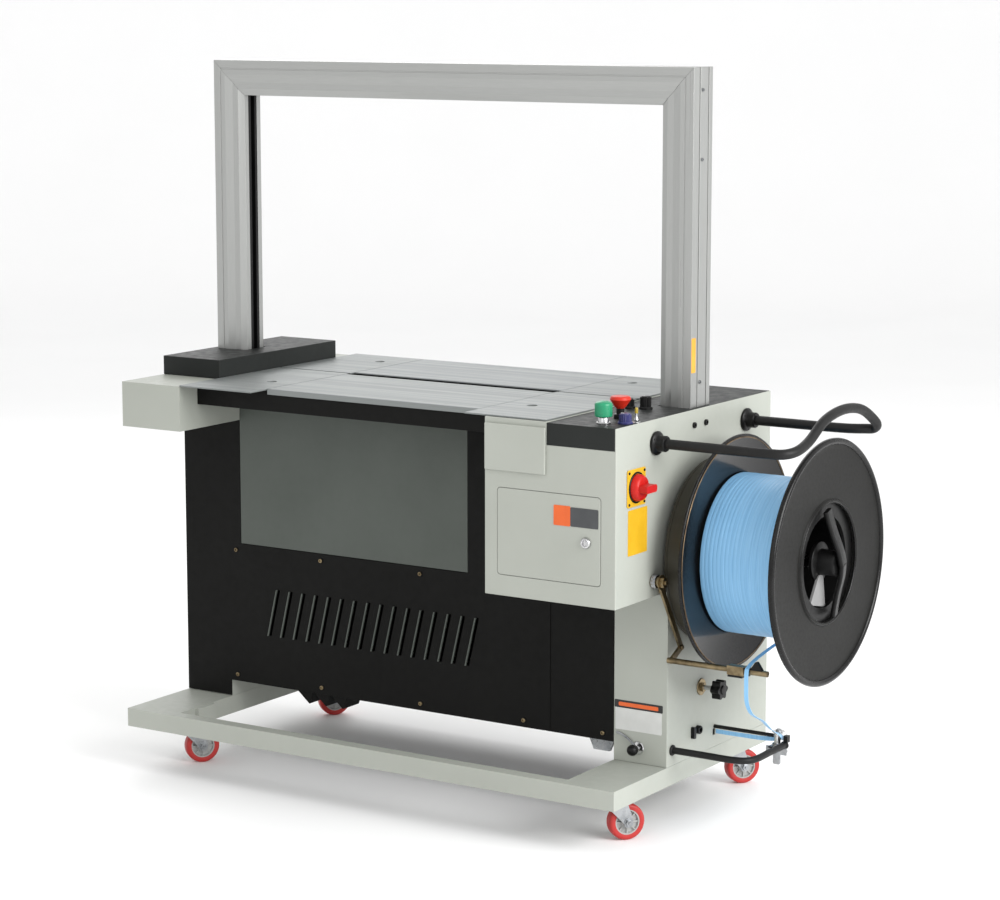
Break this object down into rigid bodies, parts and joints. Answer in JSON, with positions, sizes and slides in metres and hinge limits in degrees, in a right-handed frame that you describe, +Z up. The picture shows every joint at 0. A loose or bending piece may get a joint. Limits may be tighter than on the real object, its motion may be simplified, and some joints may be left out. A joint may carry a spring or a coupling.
{
  "type": "arch strapping machine",
  "caption": "Arch strapping machine on swivel casters: strap arch over a plate table, operator panel, side reel with guard and brake, strap guide.",
  "frame": {"origin": "centre of the footprint (reel and guard included) at floor level", "axes": "+X along the packing line from infeed to outfeed, +Y across the line away from the operator and the reel, +Z up"},
  "size_m": [0.6742, 1.5346, 1.535],
  "materials": {
    "light_grey_paint": "light grey powder coat, fine orange peel",
    "table_plate": "satin grey table plate",
    "black_panel": "black textured powder coat",
    "grey_panel": "dark grey powder coat",
    "dark_sheet": "charcoal powder coat",
    "charcoal_flange": "charcoal moulded flange",
    "arch_aluminium": "satin anodised extrusion",
    "chrome_parts": "bright plated steel",
    "zinc_parts": "yellow zinc plate",
    "black_plastic": "black moulded plastic",
    "strap_blue": "light blue polypropylene strap",
    "tyre_red": "red polyurethane tyre",
    "signal_red": "red moulded plastic",
    "start_green": "green moulded plastic",
    "knob_blue": "dark blue plastic",
    "sign_yellow": "yellow switch plate",
    "machine_steel": "machined steel"
  },
  "bodies": {
    "machine": {"base_frame": "light_grey_paint", "near_housing": "light_grey_paint", "infeed_end_block": "light_grey_paint", "control_panel": "dark_sheet", "main_switch_plate": "sign_yellow", "arch_near_post": "arch_aluminium", "arch_far_post": "arch_aluminium", "arch_top_beam": "arch_aluminium", "arch_track": "black_plastic", "far_housing": "light_grey_paint", "far_cover": "dark_sheet", "table_near_infeed_plate": "table_plate", "table_near_outfeed_plate": "table_plate", "table_far_infeed_plate": "table_plate", "table_far_outfeed_plate": "table_plate", "table_frame": "black_panel", "lower_track": "black_plastic", "plain_panel": "black_panel", "louvred_panel": "black_panel", "upper_panel": "grey_panel", "strap_pool": "black_panel", "head_frame": "machine_steel", "drive_motor": "machine_steel", "reel_shaft": "chrome_parts", "reel_guard": "black_plastic", "guard_socket_infeed": "black_plastic", "guard_socket_outfeed": "black_plastic", "guide_arm": "black_plastic", "guide_rod": "machine_steel", "strap_lead": "strap_blue"},
    "reel": {"reel_inner_flange": "charcoal_flange", "strap_coil": "strap_blue", "reel_outer_flange": "charcoal_flange"},
    "reel_lock": {"reel_lock_handle": "black_plastic"},
    "brake": {"brake_lever": "zinc_parts"},
    "roller": {"guide_roller": "machine_steel"},
    "guide_clamp": {"guide_knob": "black_plastic"},
    "column_clamp": {"column_knob": "black_plastic"},
    "door": {"cabinet_door": "light_grey_paint"},
    "lock": {"door_lock": "chrome_parts"},
    "start": {"start_button": "start_green"},
    "stop": {"stop_button": "signal_red"},
    "tension": {"tension_knob": "knob_blue"},
    "toggle": {"mode_toggle": "chrome_parts"},
    "speed": {"speed_knob": "black_plastic"},
    "feed": {"feed_knob": "black_plastic"},
    "switch_handle": {"main_switch_handle": "signal_red"},
    "infeed_plate": {"table_infeed_plate": "table_plate"},
    "outfeed_plate": {"table_outfeed_plate": "table_plate"},
    "feed_drive": {"feed_roller": "machine_steel"},
    "pinch": {"pinch_roller": "machine_steel"},
    "anvil": {"sealing_anvil": "machine_steel"},
    "fork_near_infeed": {"caster_fork_near_infeed": "chrome_parts"},
    "wheel_near_infeed": {"caster_wheel_near_infeed": "tyre_red"},
    "fork_near_outfeed": {"caster_fork_near_outfeed": "chrome_parts"},
    "wheel_near_outfeed": {"caster_wheel_near_outfeed": "tyre_red"},
    "fork_far_infeed": {"caster_fork_far_infeed": "chrome_parts"},
    "wheel_far_infeed": {"caster_wheel_far_infeed": "tyre_red"},
    "fork_far_outfeed": {"caster_fork_far_outfeed": "chrome_parts"},
    "wheel_far_outfeed": {"caster_wheel_far_outfeed": "tyre_red"}
  },
  "joints": [
    {"name": "swivel_near_infeed", "type": "hinge", "parent": "machine", "child": "fork_near_infeed", "pos_m": [-0.22107, -0.39167, 0.088], "axis": [0, 0, 1], "continuous": true},
    {"name": "roll_near_infeed", "type": "hinge", "parent": "fork_near_infeed", "child": "wheel_near_infeed", "pos_m": [-0.19428, -0.4126, 0.03768], "axis": [0.6157, 0.788, 0], "continuous": true},
    {"name": "swivel_near_outfeed", "type": "hinge", "parent": "machine", "child": "fork_near_outfeed", "pos_m": [0.27493, -0.39167, 0.088], "axis": [0, 0, 1], "continuous": true},
    {"name": "roll_near_outfeed", "type": "hinge", "parent": "fork_near_outfeed", "child": "wheel_near_outfeed", "pos_m": [0.30172, -0.4126, 0.03768], "axis": [0.6157, 0.788, 0], "continuous": true},
    {"name": "swivel_far_infeed", "type": "hinge", "parent": "machine", "child": "fork_far_infeed", "pos_m": [-0.22107, 0.69333, 0.088], "axis": [0, 0, 1], "continuous": true},
    {"name": "roll_far_infeed", "type": "hinge", "parent": "fork_far_infeed", "child": "wheel_far_infeed", "pos_m": [-0.19428, 0.6724, 0.03768], "axis": [0.6157, 0.788, 0], "continuous": true},
    {"name": "swivel_far_outfeed", "type": "hinge", "parent": "machine", "child": "fork_far_outfeed", "pos_m": [0.27493, 0.69333, 0.088], "axis": [0, 0, 1], "continuous": true},
    {"name": "roll_far_outfeed", "type": "hinge", "parent": "fork_far_outfeed", "child": "wheel_far_outfeed", "pos_m": [0.30172, 0.6724, 0.03768], "axis": [0.6157, 0.788, 0], "continuous": true},
    {"name": "reel_spin", "type": "hinge", "parent": "machine", "child": "reel", "pos_m": [0.02593, -0.62567, 0.565], "axis": [0, 1, 0], "continuous": true},
    {"name": "reel_lock_turn", "type": "hinge", "parent": "reel", "child": "reel_lock", "pos_m": [0.02593, -0.74567, 0.565], "axis": [0, 1, 0], "range_deg": [0, 60]},
    {"name": "brake_swing", "type": "hinge", "parent": "machine", "child": "brake", "pos_m": [-0.18607, -0.47767, 0.533], "axis": [0, 1, 0], "range_deg": [-1.5, 0], "stiffness_Nm_per_rad": 1.5, "springref_deg": 34.38},
    {"name": "guide_roller_spin", "type": "hinge", "parent": "machine", "child": "roller", "pos_m": [0.06793, -0.61967, 0.18], "axis": [0, 0, 1], "continuous": true},
    {"name": "guide_clamp_turn", "type": "hinge", "parent": "machine", "child": "guide_clamp", "pos_m": [0.01693, -0.49567, 0.277], "axis": [0, 1, 0], "range_deg": [-180, 180]},
    {"name": "column_clamp_turn", "type": "hinge", "parent": "machine", "child": "column_clamp", "pos_m": [-0.14107, -0.39967, 0.17], "axis": [1, 0, 0], "range_deg": [-180, 180]},
    {"name": "door_swing", "type": "hinge", "parent": "machine", "child": "door", "pos_m": [-0.33107, -0.19447, 0.63], "axis": [0, 0, -1], "range_deg": [0, 110]},
    {"name": "door_lock_turn", "type": "hinge", "parent": "door", "child": "lock", "pos_m": [-0.33407, -0.39967, 0.626], "axis": [1, 0, 0], "range_deg": [0, 90]},
    {"name": "start_press", "type": "slide", "parent": "machine", "child": "start", "axis": [0, 0, -1], "range_m": [0, 0.004], "stiffness_N_per_m": 500, "springref_m": -0.003},
    {"name": "stop_press", "type": "slide", "parent": "machine", "child": "stop", "axis": [0, 0, -1], "range_m": [0, 0.004], "stiffness_N_per_m": 600, "springref_m": -0.003},
    {"name": "tension_turn", "type": "hinge", "parent": "machine", "child": "tension", "pos_m": [-0.25907, -0.44367, 0.86], "axis": [0, 0, 1], "range_deg": [-135, 135]},
    {"name": "mode_tilt", "type": "hinge", "parent": "machine", "child": "toggle", "pos_m": [-0.23707, -0.45567, 0.8603], "axis": [0, 1, 0], "range_deg": [-15, 15]},
    {"name": "speed_turn", "type": "hinge", "parent": "machine", "child": "speed", "pos_m": [-0.06507, -0.37767, 0.86], "axis": [0, 0, 1], "range_deg": [-135, 135]},
    {"name": "feed_turn", "type": "hinge", "parent": "machine", "child": "feed", "pos_m": [-0.07507, -0.34767, 0.86], "axis": [0, 0, 1], "range_deg": [-135, 135]},
    {"name": "main_switch_turn", "type": "hinge", "parent": "machine", "child": "switch_handle", "pos_m": [-0.25507, -0.47567, 0.731], "axis": [0, 1, 0], "range_deg": [0, 90]},
    {"name": "infeed_plate_lift", "type": "hinge", "parent": "machine", "child": "infeed_plate", "pos_m": [-0.27207, 0.15233, 0.848], "axis": [0, -1, 0], "range_deg": [0, 80]},
    {"name": "outfeed_plate_lift", "type": "hinge", "parent": "machine", "child": "outfeed_plate", "pos_m": [0.31393, 0.15233, 0.848], "axis": [0, 1, 0], "range_deg": [0, 80]},
    {"name": "feed_spin", "type": "hinge", "parent": "machine", "child": "feed_drive", "pos_m": [0.02593, -0.03567, 0.76], "axis": [1, 0, 0], "continuous": true},
    {"name": "pinch_spin", "type": "hinge", "parent": "machine", "child": "pinch", "pos_m": [0.02593, -0.03567, 0.7032], "axis": [1, 0, 0], "continuous": true},
    {"name": "anvil_lift", "type": "slide", "parent": "machine", "child": "anvil", "axis": [0, 0, 1], "range_m": [0, 0.007]}
  ],
  "couplings": [
    {"joint": "pinch_spin", "follows": "feed_spin", "ratio": -2.1111}
  ]
}
